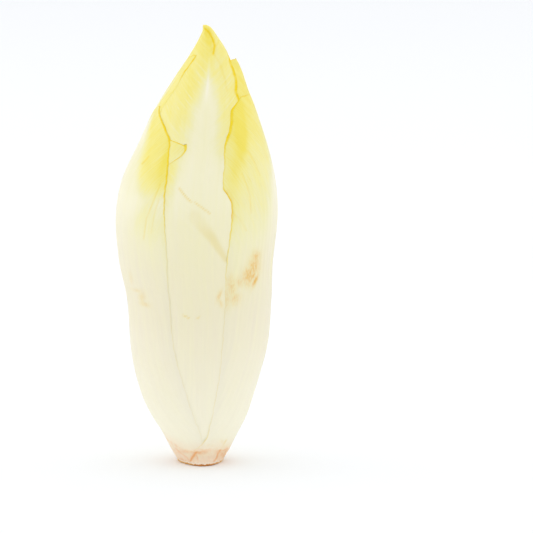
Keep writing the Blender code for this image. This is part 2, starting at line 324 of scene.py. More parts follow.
FLARE_HEIGHT = 14  # below its tip, where a flared leaf starts to stand proud
FLARE_AZIMUTH = (66, 86)  # between which the flare grows, clear of the front leaf


def half_width_of_head(height):
    return curve_through(HEAD_OUTLINE, 2, height)


def mm_per_degree(height, share=1.0):
    """Length of one degree round the head, at this height and share of its radius."""
    return math.pi / 180 * half_width_of_head(height) * share


def middle_azimuth(leaf, height):
    if len(leaf.azimuth) == 1:
        return np.full_like(height, leaf.azimuth[0][1])
    return curve_through(leaf.azimuth, 1, height)


def turn_from(middle, azimuth):
    return (azimuth - middle + 180) % 360 - 180


def inside_margin(leaf, azimuth, height):
    """(distance in from the leaf's side margin, that distance as a share of the way to the midrib)."""
    turn = turn_from(middle_azimuth(leaf, height), azimuth)
    level = np.minimum(height, leaf.tip - BLUNT_TOP)
    reach = by_side(leaf.margins, turn, level)
    degree = mm_per_degree(height, leaf.depth_share)
    inside = (reach - np.abs(turn)) * degree
    inside = np.where(height > leaf.tip, np.minimum(inside, leaf.tip - height), inside)
    return inside, np.clip(inside / np.maximum(reach * degree, NARROWEST), 0, 1)


def leaf_thickness(leaf, azimuth, height):
    """(thickness, 1 under the leaf and less past its edge) of the leaf at these azimuths and heights."""
    inside, from_edge = inside_margin(leaf, azimuth, height)
    rib = curve_through(RIB_THICKNESS, 1, (height - leaf.base) / (leaf.tip - leaf.base))
    rib *= INNER_STOUTNESS if leaf.inner else 1
    margin = curve_through(MARGIN_THICKNESS, 1, height)
    thickness = margin + (rib - margin) * smooth_step(0, 1, from_edge)
    return thickness, 1 - smooth_step(0, MARGIN_FADE, -inside)


def gap_under(leaf, height):
    return curve_through(INNER_GAPS, 1, height) if leaf.inner else LEAF_GAP


def lean_of(leaf, height):
    """How far the leaf's top leans in from its place in the stack."""
    return leaf.lean * smooth_step(leaf.tip - LEAN_LENGTH, leaf.tip, height)


def depth_of_leaf(order, azimuth, height):
    """Depth of a leaf's outer face below the head's outline: what the leaves outside it take up."""
    depth = lean_of(LEAVES[order], height)
    for leaf in LEAVES[:order]:
        thickness, cover = leaf_thickness(leaf, azimuth, height)
        depth += (thickness + gap_under(leaf, height)) * cover + lean_of(leaf, height)
    return depth


# Soft swells that all the leaves share: waves round, height of one wave, start, amount.
SWELLS = (
    (2, 61, 0.4, 0.16), (3, 47, 1.7, 0.14), (5, 83, 2.9, 0.1), (7, 36, 0.9, 0.06), (11, 52, 2.2, 0.04),
)
SWELL_FROM = (14, 42)  # heights over which the swells begin
SWELL_END = 20  # below the tip, over which they end


def swell(azimuth, height):
    angle = np.radians(azimuth)
    total = np.zeros_like(height)
    for around, tall, start, amount in SWELLS:
        total += amount * np.sin(around * angle + start + height * 2 * math.pi / tall)
    return total * smooth_step(*SWELL_FROM, height) * smooth_step(0, SWELL_END, HEAD_HEIGHT - height)


def placed(azimuth, height, depth):
    """Points in mm at these azimuths, heights and depths below the head's outline."""
    half_width = half_width_of_head(height)
    flatness = 1 - (1 - DEPTH_TO_WIDTH) * smooth_step(ROUND_UP_TO, FLAT_FROM, height)
    share = (depth - swell(azimuth, height)) / half_width
    pressed = (1 - INNERMOST_SHARE) * np.exp(-(share - INNERMOST_SHARE) / (1 - INNERMOST_SHARE))
    left = np.where(share < INNERMOST_SHARE, 1 - share, pressed)
    angle = np.radians(azimuth)
    x = curve_through(HEAD_OUTLINE, 1, height) + half_width * left * np.sin(angle)
    y = -half_width * flatness * left * np.cos(angle)
    return np.column_stack([x, y, height])


# ---- Marks on the leaves and the stem, placed as they show from the front ----

# Golden creases on each piece: width, strength, points across and up.
CREASES = {
    "front_leaf": (
        (0.42, 1, ((2.2, 168.6), (3.8, 167.2), (4.9, 165.2), (5.8, 162.6), (5.5, 160.6), (5.3, 159.6))),
        (0.4, 0.22, ((5.5, 159.6), (7.6, 156.4), (9.6, 151), (10.6, 146))),
    ),
    "left_outer_leaf": (
        (0.24, 0.36, ((-14.8, 112), (-17.6, 105), (-20.1, 98.7), (-21.2, 90.7))),
        (0.22, 0.24, ((-15.2, 106.5), (-17, 101), (-18.3, 93.5))),
        (0.3, 0.5, ((-21.8, 118.5), (-20.4, 120), (-19.2, 121.5))),
    ),
    "right_outer_leaf": (
        (0.22, 0.36, ((16.2, 115.9), (18, 111.5), (19.3, 107.2), (19.8, 100.3))),
        (0.22, 0.3, ((12.5, 101.6), (15.2, 99), (17.9, 94.1))),
        (0.22, 0.28, ((18.6, 124), (21, 119.5), (23.2, 114))),
    ),
}
# Brown scratches, likewise.
SCRATCHES = {
    "front_leaf": (
        (0.27, 0.8, ((-7.6, 111), (-6.3, 109.5), (-5, 107.7), (-3.1, 106))),
        (0.26, 0.66, ((-1.5, 105.7), (1.4, 103.6), (3.2, 102.3), (4, 101.4))),
        (0.3, 0.6, ((-6.2, 61.8), (-4, 60.8))),
        (0.3, 0.5, ((-0.8, 60.6), (0, 61.2))),
    ),
    "right_outer_leaf": (
        (0.35, 0.6, ((10, 9.9), (9.2, 8.2), (7.9, 6))),
    ),
    "stem": (
        (0.35, 0.8, ((7.9, 6), (6.9, 4.4), (6.4, 2.6), (5.2, 1.2), (4, 0.7))),
        (0.45, 0.9, ((-1.5, 5.6), (-2.3, 4.2), (-3.3, 2.7), (-3.7, 1.6))),
        (0.25, 0.5, ((-2, 4.8), (-1.2, 3.8), (-0.9, 2.6))),
        (0.3, 0.4, ((-9.6, 6.2), (-7.6, 4.6), (-5.2, 3), (-4, 1.6))),
    ),
}
# Bruises: across, up, half width, half height, lean (degrees), strength.
BRUISES = {
    "right_outer_leaf": (
        (21.6, 83, 2, 2.8, 0, 0.62), (20.8, 79.4, 2.6, 4.4, 5, 0.66), (18.8, 76.4, 2.8, 3.6, 10, 0.72),
        (21.3, 73.8, 0.8, 3, 24, 1), (20.3, 75.4, 0.7, 2.6, 30, 0.8), (18.6, 73.6, 1.6, 2.4, 0, 0.45),
        (15.4, 74.2, 2, 2.6, -20, 0.4), (12.2, 72.6, 2.2, 5.5, -8, 0.44), (13.4, 67.8, 2.6, 3, 0, 0.4),
        (10.4, 68, 1.8, 4.8, 0, 0.36), (9, 65.6, 1.1, 2, 0, 0.5), (9.8, 108.6, 1.8, 1.2, -40, 0.5),
        (11.6, 105, 1.2, 3.4, 0, 0.56), (12.4, 101, 1, 3.6, 0, 0.5), (3.2, 8.6, 0.5, 0.4, 0, 0.5),
        (4.7, 8.2, 0.6, 0.4, 20, 0.45), (8.6, 9.4, 1.4, 0.5, 60, 0.4), (9.4, 6.6, 2.2, 1.4, 0, 0.5),
    ),
    "front_leaf": (
        (7.6, 69.4, 0.8, 2.6, 20, 0.5), (8.2, 66.2, 0.8, 1.8, -20, 0.4),
    ),
    "left_outer_leaf": (
        (-26.2, 74, 0.8, 3, -8, 0.2), (-24, 69.6, 2.4, 0.8, 0, 0.26), (-22, 67.4, 1.5, 2.8, 0, 0.32),
        (-21, 64.7, 2.2, 1.1, 10, 0.32),
    ),
    "stem": (
        (9.4, 3.6, 2.4, 3.8, -15, 0.85), (-0.4, 5.4, 2.6, 0.9, 0, 0.9), (-2.6, 3.9, 0.9, 1.4, 20, 0.8),
        (7.4, 5.2, 1.8, 1.2, 0, 0.7), (-7.2, 1.2, 2, 0.9, 0, 0.8), (-6.6, 5.4, 3.2, 1, -20, 0.45),
    ),
}
# The press mark, a shallow dent that runs down across the front leaf with painted shade in it: points
# across and up, half width.
PRESS_MARK = ((-1.6, 100.5), (4.7, 92.3), (10.2, 83.3))
PRESS_WIDTH = ((83, 1.1), (90, 1.7), (96, 2.3), (101, 2.7))  # height, half width
PRESS_DENT = 0.1
PRESS_EDGE = (0.4, 1.3)  # shares of the half width between which the mark fades out sideways
PRESS_FADE = (99, 92)  # heights between which it grows from PRESS_TOP to its full strength
PRESS_TOP = 0.35
# The fold at the tip, whose right side lies on its left: points across and up.
FOLD = ((1.2, 170), (3.8, 167.2), (4.9, 165.2), (5.8, 162.6), (5.3, 158.5))
FOLD_STEP = 0.3
FOLD_EDGE = 0.12  # half the width of its step
FOLD_WIDTH = 2.6  # over which the fold levels out beside the step
PATCH_FALL = 1.2  # how steeply a bruise or streak fades


def distance_to_path(across, up, path):
    """(distance to the path, distance to the right of its nearest stretch)."""
    nearest = np.full_like(across, np.inf)
    right = np.zeros_like(across)
    for (x0, z0), (x1, z1) in zip(path, path[1:]):
        length = math.hypot(x1 - x0, z1 - z0)
        along = np.clip(((across - x0) * (x1 - x0) + (up - z0) * (z1 - z0)) / length**2, 0, 1)
        gap = np.hypot(across - x0 - along * (x1 - x0), up - z0 - along * (z1 - z0))
        beside = ((across - x0) * (z0 - z1) + (up - z0) * (x1 - x0)) / length
        right = np.where(gap < nearest, beside, right)
        nearest = np.minimum(nearest, gap)
    return nearest, right


def patch(across, up, half_width, half_height, lean):
    """1 in the middle of a soft oval, which leans to the right at its top, and 0.3 at its edge."""
    turn = math.radians(lean)
    wide = (across * math.cos(turn) - up * math.sin(turn)) / half_width
    tall = (across * math.sin(turn) + up * math.cos(turn)) / half_height
    return np.exp(-PATCH_FALL * (wide**2 + tall**2))


def lines_on(name, points, lines):
    total = np.zeros(len(points))
    for width, strength, path in lines.get(name, ()):
        gap, _ = distance_to_path(points[:, 0], points[:, 2], path)
        total = np.maximum(total, strength * np.exp(-((gap / width) ** 2)))
    return total * (points[:, 1] < 0)


def bruises_on(name, points):
    total = np.zeros(len(points))
    for across, up, half_width, half_height, lean, strength in BRUISES.get(name, ()):
        spot = patch(points[:, 0] - across, points[:, 2] - up, half_width, half_height, lean)
        total = np.maximum(total, strength * spot)
    return total * (points[:, 1] < 0)


def press_mark_on(name, points):
    gap, _ = distance_to_path(points[:, 0], points[:, 2], PRESS_MARK)
    width = curve_through(PRESS_WIDTH, 1, points[:, 2])
    mark = 1 - smooth_step(PRESS_EDGE[0] * width, PRESS_EDGE[1] * width, gap)
    mark *= PRESS_TOP + (1 - PRESS_TOP) * smooth_step(*PRESS_FADE, points[:, 2])
    return mark * (points[:, 1] < 0) * (name == "front_leaf")


def fold_on(name, points):
    """Height of the fold at the tip over the leaf's own surface."""
    gap, right = distance_to_path(points[:, 0], points[:, 2], FOLD)
    step = smooth_step(-FOLD_EDGE, FOLD_EDGE, right) * np.exp(-((gap / FOLD_WIDTH) ** 2))
    fade = smooth_step(FOLD[-1][1], FOLD[-2][1], points[:, 2])
    return FOLD_STEP * step * fade * (points[:, 1] < 0) * (name == "front_leaf")


# ---- How yellow the leaves are, point by point ----

# Height, faint yellow of the whole leaf.
TINT = ((18, 0), (50, 0.05), (72, 0.11), (94, 0.16), (112, 0.12), (135, 0.16), (150, 0.12))
# Height, whiteness. Towards the foot it is partly the leaves' own whiter base and partly painted light
# against the shade over the floor.
PALE = ((0, 1), (12, 1), (25, 0.75), (45, 0.35), (65, 0), (80, 0.1), (94, 0.5), (108, 1), (170, 1))
RIB_MIDDLE = 0.15  # share of the blade over which the rib's left side turns into its right side
TINT_FRONT = 40  # degrees from the front over which the tint fades
TINT_REST = 0.3  # what is left of it further round


def yellow_of_leaf(leaf, azimuth, height, side):
    level = curve_through(leaf.yellow, 1, height)
    rib_left, rib_right = curve_through(leaf.yellow, 2, height), curve_through(leaf.yellow, 3, height)
    rib = rib_left + (rib_right - rib_left) * smooth_step(-RIB_MIDDLE, RIB_MIDDLE, side)
    total = level * smooth_step(rib - leaf.softness, rib + leaf.softness, np.abs(side))
    around = turn_from(0, azimuth)
    front = TINT_REST + (1 - TINT_REST) * np.exp(-((around / TINT_FRONT) ** 2))
    total = total + curve_through(TINT, 1, height) * front
    for up, middle, tall, wide, lean, strength in leaf.streaks:
        across = turn_from(middle, azimuth) * mm_per_degree(height)
        total = total + strength * patch(across, height - up, wide, tall, lean)
    return np.clip(total, 0, 1)


# ---- Leaves ----

# Height of the scar where the outer leaves were trimmed off the stem: azimuth, height.
SCAR = ((-180, 7), (-125, 7.6), (-85, 9), (-58, 8.6), (-35, 6.8), (-20, 5.9), (0, 6), (28, 6.4),
        (60, 5.9), (90, 5.6), (130, 6.6), (180, 7))
# Waves round, start, amount.
SCAR_WAVES = ((5, 0.8, 0.12), (11, 2.1, 0.1), (19, 0.4, 0.06))
STANDS_ON_SCAR = 9  # leaves with a base below this height reach down to the scar
BASE_STRETCH = 9  # over which their lowest rows are pulled to it
RAGGED = 0.16  # how far a margin wanders in and out
RAGGED_WAVES = (1.9, 0.83)  # radians in a mm up the margin
RAGGED_FROM = 0.7  # share of the blade past which it wanders
LIFT_WIDTH = 3.2  # how far in from the margin a lifted margin starts to rise
RIDGE_SPACING = 2.6
RIDGE_HEIGHT = 0.03
RIDGE_INSET = 4  # in from the margin, over which the ridges rise
RIDGES_END = (0.55, 0.9)  # shares of the way up the leaf between which they level out
GROOVE_DEPTH = 0.16
SCRATCH_DEPTH = 0.048
LIT_THROUGH = (100, 128)  # heights between which the blade starts to let light through to its inner face
LIT_THICKNESS = (0.12, 0.5)  # thicknesses over which it does so, clear of the margins
ROW_SAMPLES = 1200  # heights at which the margins' run is measured
WHITE_VEINS = (162, 152)  # heights between which the white veins begin, from the tip down
ROWS_AT_MARGINS = 0.35  # how much closer the rows stand for each mm that a margin runs in or out
TIP_EDGE = 1.5  # how much narrower the painted seam shade is along the tip than along the sides
MARGIN_ANGLE = 0.9  # radians between faces, above which a leaf's margin counts as an edge
# The torn leaf's spike: height and azimuth of its foot, half height, half width (degrees), rise.
SPIKE = (126.6, -15.4, 0.8, 1, 0.95)


def scar_height(azimuth):
    around = turn_from(0, azimuth)
    height = curve_through(SCAR, 1, around)
    for waves, start, amount in SCAR_WAVES:
        height = height + amount * np.sin(waves * np.radians(around) + start)
    return height


def row_heights(leaf, count):
    """Heights of the rows of quads: closer where the margins run in or out."""
    height = np.linspace(leaf.base, leaf.tip, ROW_SAMPLES)
    run = np.zeros_like(height)
    for column in (1, 2):
        margin = curve_through(leaf.margins, column, height) * mm_per_degree(height)
        run += np.abs(np.gradient(margin, height))
    way = np.concatenate([[0], np.cumsum((1 + ROWS_AT_MARGINS * run[1:]) * np.diff(height))])
    return np.interp(np.linspace(0, way[-1], count + 1), way, height)


def new_object(name, data):
    obj = bpy.data.objects.new(name, data)
    bpy.context.scene.collection.objects.link(obj)
    return obj


def new_piece(name, bm, material):
    mesh = bpy.data.meshes.new(name)
    bm.to_mesh(mesh)
    bm.free()
    mesh.materials.append(material)
    mesh.shade_smooth()
    return new_object(name, mesh)


def lay_on(points, bm, verts):
    """Move the vertices to these points in mm, and turn their faces outwards."""
    for vert, point in zip(verts, points * MM):
        vert.co = point
    bmesh.ops.recalc_face_normals(bm, faces=bm.faces[:])


def store(mesh, **attributes):
    """Keep values on the mesh's vertices, for its material to read."""
    for name, values in attributes.items():
        values = np.broadcast_to(np.asarray(values, np.float32), len(mesh.vertices))
        attribute = mesh.attributes.new(name, "FLOAT", "POINT")
        attribute.data.foreach_set("value", np.ascontiguousarray(values))


def store_uv(mesh, across, up):
    """A UV map in centimetres: across the piece from its middle line, and up it."""
    corner = np.empty(len(mesh.loops), int)
    mesh.loops.foreach_get("vertex_index", corner)
    uv = np.column_stack([across, up])[corner] / 10
    mesh.uv_layers.new(name="skin_uv").data.foreach_set("uv", uv.ravel().astype(np.float32))


def leaf_slab(columns, rows):
    """(bmesh, its vertices, column position -1 to 1, row number, which vertices are the inner face's)."""
    bm = bmesh.new()
    bmesh.ops.create_grid(bm, x_segments=columns, y_segments=rows, size=1.0)
    slab = bmesh.ops.extrude_face_region(bm, geom=bm.faces[:], use_keep_orig=True)
    inner = {v for v in slab["geom"] if isinstance(v, bmesh.types.BMVert)}
    verts = list(bm.verts)
    flat = np.array([v.co for v in verts])
    row = np.rint((flat[:, 1] + 1) / 2 * rows).astype(int)
    return bm, verts, flat[:, 0], row, np.array([v in inner for v in verts])


def lift_of_margins(leaf, azimuth, height, side, inside):
    """How far the leaf stands off the one below at its lifted margins and its flared tip."""
    at_tip = smooth_step(leaf.tip - FLARE_HEIGHT, leaf.tip, height)
    proud = leaf.flare * at_tip * smooth_step(*FLARE_AZIMUTH, azimuth)
    for which, up, tall, amount in leaf.lifts:
        on_side = side < 0 if which == "left" else side > 0
        rise = amount * np.exp(-(((height - up) / tall) ** 2)) * (1 - smooth_step(0, LIFT_WIDTH, inside))
        proud = proud + rise * on_side
    return proud


def sharpen_margins(verts, on_margin):
    """Keep the narrow side faces' shading off the leaf's two broad faces."""
    rim = {vert for vert, at in zip(verts, on_margin) if at}
    for vert in rim:
        for edge in vert.link_edges:
            if edge.other_vert(vert) in rim and edge.calc_face_angle(0) > MARGIN_ANGLE:
                edge.smooth = False


def make_leaf(order, material):
    """A grid thickened into a slab, whose two faces are then laid on the leaf's outer and inner side."""
    leaf = LEAVES[order]
    bm, verts, column, row, is_inner = leaf_slab(*leaf.grid)
    side = np.sign(column) * (1 - (1 - np.abs(column)) ** MARGIN_CROWDING)
    height = row_heights(leaf, leaf.grid[1])[row]
    reach = by_side(leaf.margins, side, height)
    degree = mm_per_degree(height, leaf.depth_share)
    waves = [np.sin(height * wave + k * order) for k, wave in enumerate(RAGGED_WAVES, start=1)]
    reach = reach + RAGGED * np.mean(waves, axis=0) / degree * smooth_step(RAGGED_FROM, 1, np.abs(side))
    azimuth = middle_azimuth(leaf, height) + side * reach
    if leaf.base < STANDS_ON_SCAR:
        pull = 1 - smooth_step(0, BASE_STRETCH, height - leaf.base)
        height = height + (scar_height(azimuth) - leaf.base) * pull
    if leaf.name == "torn_left_leaf":
        up, middle, tall, wide, amount = SPIKE
        off = ((height - up) / tall) ** 2 + ((azimuth - middle) / wide) ** 2
        height = height + amount * np.exp(-off)

    inside = (1 - np.abs(side)) * reach * degree
    across = side * reach * degree
    thickness, _ = leaf_thickness(leaf, azimuth, height)
    depth = depth_of_leaf(order, azimuth, height) - lift_of_margins(leaf, azimuth, height, side, inside)
    surface = placed(azimuth, height, depth)
    creases = lines_on(leaf.name, surface, CREASES)
    scratches = lines_on(leaf.name, surface, SCRATCHES)
    press_mark = press_mark_on(leaf.name, surface)
    ridges = RIDGE_HEIGHT * np.sin(across * 2 * math.pi / RIDGE_SPACING)
    ridges *= smooth_step(0, RIDGE_INSET, inside)
    ridges *= 1 - smooth_step(*RIDGES_END, (height - leaf.base) / (leaf.tip - leaf.base))
    relief = ridges - GROOVE_DEPTH * creases - SCRATCH_DEPTH * scratches - PRESS_DENT * press_mark
    relief = relief + fold_on(leaf.name, surface)
    points = placed(azimuth, height, depth + np.where(is_inner, thickness, -relief))
    lay_on(points, bm, verts)
    sharpen_margins(verts, np.isclose(np.abs(side), 1) | (row == 0) | (row == leaf.grid[1]))
    obj = new_piece(leaf.name + "_fine", bm, material)

    store_uv(obj.data, across, height - leaf.base)
    lit_through = smooth_step(*LIT_THROUGH, height) * smooth_step(*LIT_THICKNESS, thickness)
    store(
        obj.data,
        yellow=yellow_of_leaf(leaf, azimuth, height, side),
        pale=curve_through(PALE, 1, height),
        press_mark=press_mark,
        from_margin=np.minimum(inside, (leaf.tip - height) * TIP_EDGE),
        seam=by_side(leaf.seams, side, height),
        crease=creases,
        scratch=scratches,
        bruise=bruises_on(leaf.name, surface),
        above_scar=height - scar_height(azimuth),
        vein_lean=leaf.vein_lean,
        lit_through=np.where(is_inner, lit_through, 0),
        vein_white=leaf.vein_white * smooth_step(*WHITE_VEINS, height),
    )
    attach(obj, "root")
    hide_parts(leaf.name)


# ---- Cut stem ----

STEM_SIDES = 240
FOOT = ((2, 0), (4, 0), (5.4, 0), (6.5, 0), (7.3, 0), (7.9, 0), (8.25, 0.05), (8.5, 0.16),
        (8.7, 0.36), (8.9, 0.7), (9.1, 1.2))  # radius, height of the rings round the rough rim
FLANK = ((1.2, 9.1), (2.5, 9.9), (4, 10.75), (6, 11.8), (9, 13.3))  # height, radius up to the scar
FLANK_RINGS = 14
LEDGE = ((0.05, 0.15), (0.5, 0.3), (1.1, 0.35), (1.7, 0.4))  # under the leaves: depth in, height over scar
CORE = ((8.6, 9), (8.2, 12), (7.4, 17), (6.4, 23), (5.4, 30), (4.4, 38), (3.4, 46), (2.4, 53),
        (1.2, 58))  # radius, height of the rings inside the leaves
CORE_TOP = 60
FLANK_MEETS = (0.5, 0.95)  # shares of the scar's height between which the flank turns out to the leaves
TUCKED_IN = 0.03  # how far the flank's top stays inside them
RIM_CHIPS = ((17, 0.7, 0.1), (29, 2, 0.09), (43, 1.1, 0.07), (71, 0.2, 0.05))  # waves round, start, amount
RIM_INNER = (7, 8.3)  # radii between which the flat cut face turns into the rough rim
RIM_TOP = (2.4, 0.6)  # heights between which the flank turns into it
CHIP_RISE = 0.3  # height over which the chips begin to stand up from the ground
CHIP_REACH = 1.3  # how far a chip stands out, for each mm that it stands up
RIM_FRONT = 8  # azimuth of the rim's lowest and furthest point
FRONT_BULGE = 0.36  # how much further the rough rim reaches there, as a share of its radius
BULGE_WIDTH = 34  # degrees
BULGE_HEIGHT = 3.4
SKIN_RADIUS = 11  # of the stem, for its UV map
# Flat facets left by the knife: azimuth, distance from the axis, as a share of the radius.
FACETS = ((14, 0.965), (74, 0.975), (-50, 0.97), (-112, 0.975), (138, 0.965), (196, 0.97))
FACET_REACH = 50  # degrees to either side, by which a facet has left the stem


def foot_radius(azimuth, height):
    """Radius of the stem below the scar, cut by the knife's facets; at the scar it meets the leaves."""
    radius = curve_through(FLANK, 1, height)
    cut = radius
    for middle, share in FACETS:
        turn = np.clip(turn_from(middle, azimuth), -FACET_REACH, FACET_REACH)
        cut = np.minimum(cut, radius * share / np.cos(np.radians(turn)))
    below = 1 - smooth_step(*FLANK_MEETS, height / scar_height(azimuth))
    meeting = half_width_of_head(height) - TUCKED_IN
    return meeting + (cut - meeting) * below


def make_stem(material):
    """A profile spun round the axis: a rough rim, a trimmed flank up to the scar, and a core inside."""
    first_flank = 1 + len(FOOT)
    first_ledge = first_flank + FLANK_RINGS
    first_core = first_ledge + len(LEDGE)
    last = first_core + len(CORE)
    bm = bmesh.new()
    profile = [bm.verts.new((0 if k in (0, last) else 1, 0, k)) for k in range(last + 1)]
    edges = [bm.edges.new(pair) for pair in zip(profile, profile[1:])]
    bmesh.ops.spin(bm, geom=profile + edges, axis=(0, 0, 1), angle=2 * math.pi, steps=STEM_SIDES)
    bmesh.ops.remove_doubles(bm, verts=bm.verts[:], dist=1e-4)
    verts = list(bm.verts)
    flat = np.array([v.co for v in verts])
    ring = np.rint(flat[:, 2]).astype(int)
    azimuth = np.degrees(np.arctan2(flat[:, 0], -flat[:, 1]))
    scar = scar_height(azimuth)

    radius = np.zeros(len(verts))
    height = np.zeros(len(verts))
    for first, rings in ((1, FOOT), (first_core, CORE)):
        for k, (out, up) in enumerate(rings, start=first):
            radius[ring == k] = out
            height[ring == k] = up
    rim_height = FOOT[-1][1]
    rise = (ring - first_flank + 1) / FLANK_RINGS
    flank = (ring >= first_flank) & (ring < first_ledge)
    height[flank] = (rim_height + (scar - rim_height) * rise)[flank]
    radius[flank] = foot_radius(azimuth, height)[flank]
    for k, (depth, up) in enumerate(LEDGE, start=first_ledge):
        at = ring == k
        height[at] = scar[at] + up
        radius[at] = (half_width_of_head(scar) - depth)[at]
    height[ring == last] = CORE_TOP

    angle = np.radians(azimuth)
    chips = sum(amount * np.sin(waves * angle + start) for waves, start, amount in RIM_CHIPS)
    rim = smooth_step(*RIM_INNER, radius) * smooth_step(*RIM_TOP, height)
    at_front = np.exp(-((turn_from(RIM_FRONT, azimuth) / BULGE_WIDTH) ** 2)) * (ring < first_ledge)
    bulge = FRONT_BULGE * at_front * smooth_step(BULGE_HEIGHT, 0, height)
    height = height + np.maximum(0, chips) * rim * smooth_step(0, CHIP_RISE, height)
    radius = radius * (1 + bulge) + CHIP_REACH * chips * rim
    points = np.column_stack([radius * np.sin(angle), -radius * np.cos(angle), height])
    scratches = lines_on("stem", points, SCRATCHES)
    push = GROOVE_DEPTH * scratches
    points[:, 0] -= push * np.sin(angle)
    points[:, 1] += push * np.cos(angle)
    lay_on(points, bm, verts)
    obj = new_piece("stem_fine", bm, material)

    store_uv(obj.data, angle * SKIN_RADIUS, height)
    store(
        obj.data,
        scratch=scratches,
        bruise=bruises_on("stem", points),
        above_scar=height - scar,
        up=height,
        rim_front=at_front,
    )
    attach(obj, "root")
    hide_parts("stem")


# ---- Materials ----


def linear(red, green, blue):
    """A colour given in 0-255 display values, as linear light."""
    values = [v / 255 for v in (red, green, blue)]
    return tuple(v / 12.92 if v <= 0.04045 else ((v + 0.055) / 1.055) ** 2.4 for v in values) + (1,)


class Shader:
    """The node tree of a material or of the world, with one short call for each node."""

    def __init__(self, owner, last="Principled BSDF"):
        owner.use_nodes = True
        self.owner = owner
        self.tree = owner.node_tree
        self.last = self.tree.nodes[last]

    def put(self, socket, value):
        if isinstance(value, bpy.types.NodeSocket):
            self.tree.links.new(value, socket)
        else:
            socket.default_value = value

    def add(self, kind, inputs, output=0, **settings):
        node = self.tree.nodes.new(kind)
        for key, value in settings.items():
            setattr(node, key, value)
        for key, value in inputs.items():
            self.put(node.inputs[key], value)
        return node.outputs[output]

    def math(self, operation, *values, clamp=False):
        return self.add("ShaderNodeMath", dict(enumerate(values)), operation=operation, use_clamp=clamp)

    def times(self, first, second, clamp=False):
        return self.math("MULTIPLY", first, second, clamp=clamp)

    def attribute(self, name):
        return self.add("ShaderNodeAttribute", {}, attribute_name=name, output="Fac")

    def noise(self, vector, scale, detail=2, roughness=0.5):
        inputs = {"Vector": vector, "Scale": scale, "Detail": detail, "Roughness": roughness}
        return self.add("ShaderNodeTexNoise", inputs, output="Fac")

    def streaky(self, skin, across, up, turn=0, **kind):
        """Noise on a piece's UV map, with so many spots in a centimetre across it and up it."""
        inputs = {"Vector": skin, "Rotation": (0, 0, turn), "Scale": (across, up, 1)}
        return self.noise(self.add("ShaderNodeMapping", inputs), 1, **kind)

    def shifted_by(self, value, noise, amount):
        """The value, made to wander by a noise around 0.5."""
        return self.math("MULTIPLY_ADD", self.math("SUBTRACT", noise, 0.5), amount, value)

    def range(self, value, low, high, to_low=0, to_high=1):
        inputs = {"Value": value, "From Min": low, "From Max": high, "To Min": to_low, "To Max": to_high}
        return self.add("ShaderNodeMapRange", inputs, interpolation_type="SMOOTHSTEP")

    def mix(self, factor, first, second):
        return self.add("ShaderNodeMix", {0: factor, 6: first, 7: second}, output=2, data_type="RGBA")

    def ramp(self, value, *stops):
        color = self.add("ShaderNodeValToRGB", {0: value})
        elements = color.node.color_ramp.elements
        while len(elements) < len(stops):
            elements.new(0.5)
        for element, stop in zip(elements, stops):
            element.position, element.color = stop
        return color

    def bump(self, height, distance, strength):
        return self.add("ShaderNodeBump", {"Height": height, "Distance": distance, "Strength": strength})

    def finish(self, sockets):
        for key, value in sockets.items():
            self.put(self.last.inputs[key], value)
        return self.owner


PALE_CREAM = linear(253, 248, 224)
CREAM = linear(242, 234, 209)
STRAW = linear(245, 240, 192)
PALE_YELLOW = linear(247, 239, 165)
YELLOW = linear(247, 235, 137)
DEEP_YELLOW = linear(246, 229, 98)
WHITE_VEIN = linear(250, 246, 216)
# Gold of the side veins and creases; along the margins the same gold is painted shade and glow where one
# leaf lies on the next.
GOLD_AND_SEAM_SHADE = linear(245, 214, 0)
LINE_BROWN = linear(236, 206, 66)
# Painted shade in the press mark's shallow dent.
PRESS_SHADE_TAN = linear(236, 221, 152)
BRUISE_GOLD = linear(238, 208, 104)
BRUISE_TAN = linear(238, 192, 96)
SCAR_ROSE = linear(252, 206, 158)
SCAR_ORANGE = linear(243, 176, 112)
BRUISE_ORANGE = linear(246, 198, 150)
# Cream of the stump, made lighter as painted light for the bounce off the floor.
STUMP_CREAM_AND_PAINTED_LIGHT = linear(253, 238, 212)
STUMP_TAN = linear(253, 231, 206)
FLAKE_CREAM = linear(254, 240, 222)
RIM_BROWN = linear(208, 136, 64)
# Gold of the rim round the sides: partly its own colour, partly painted light against the contact shade
# there.
RIM_GOLD_AND_PAINTED_LIGHT = linear(246, 196, 120)

# Light that spreads under the skin, and more of it through a thin blade to its inner face.
GLOW_RADIUS = (1, 0.96, 0.85)
GLOW_WEIGHT = 0.12
GLOW_SCALE = 0.00015  # metres
THROUGH_WEIGHT = 0.8
THROUGH_SCALE = 0.001  # metres
VEIN_SPACING = 0.27  # centimetres, as the skin's UV map is


def rosy_scar(s, color, place, near):
    """Rose, uneven dried flesh near the scar where the outer leaves were trimmed off."""
    uneven = s.range(s.noise(place, 260, detail=3), 0.38, 0.62, 0.15, 1)
    return s.mix(s.times(s.times(near, uneven), 0.7), color, SCAR_ROSE)


